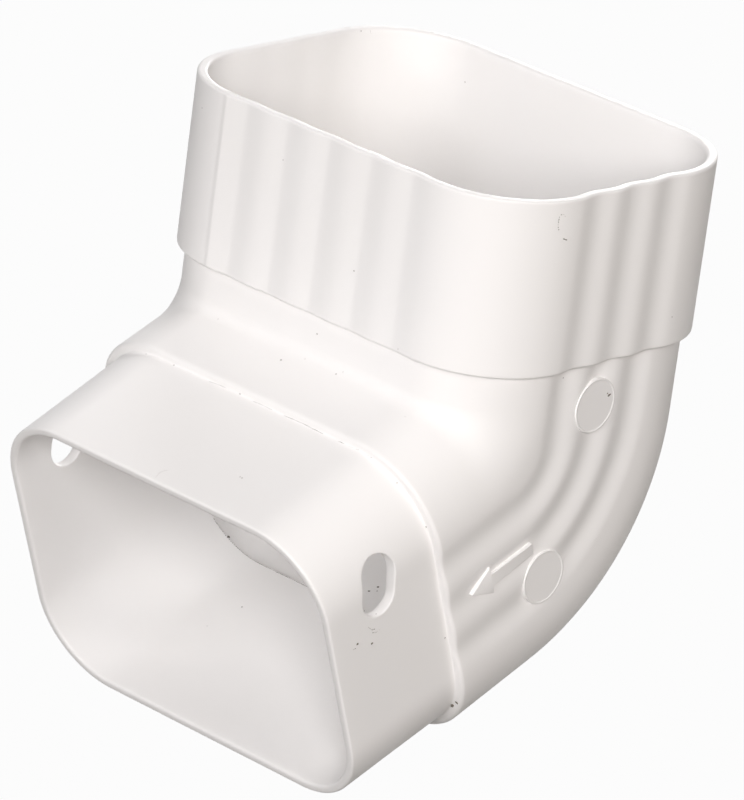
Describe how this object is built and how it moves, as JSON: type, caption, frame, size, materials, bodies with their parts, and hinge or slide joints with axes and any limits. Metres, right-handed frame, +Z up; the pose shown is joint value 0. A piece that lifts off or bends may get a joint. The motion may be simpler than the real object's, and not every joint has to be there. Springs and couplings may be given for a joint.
{
  "type": "downspout elbow",
  "caption": "Moulded rain downspout elbow: a fluted rectangular collar turns through a rounded bend to a plain spigot with a slot in each short side.",
  "frame": {"origin": "centre of the collar's open rim", "axes": "+Z up along the collar axis, out of the inlet; -Y towards the outlet; +X along the long side of the collar"},
  "size_m": [0.09, 0.1029, 0.1152],
  "materials": {
    "pvc": "satin white"
  },
  "bodies": {
    "root": {"elbow": "pvc"}
  },
  "joints": []
}
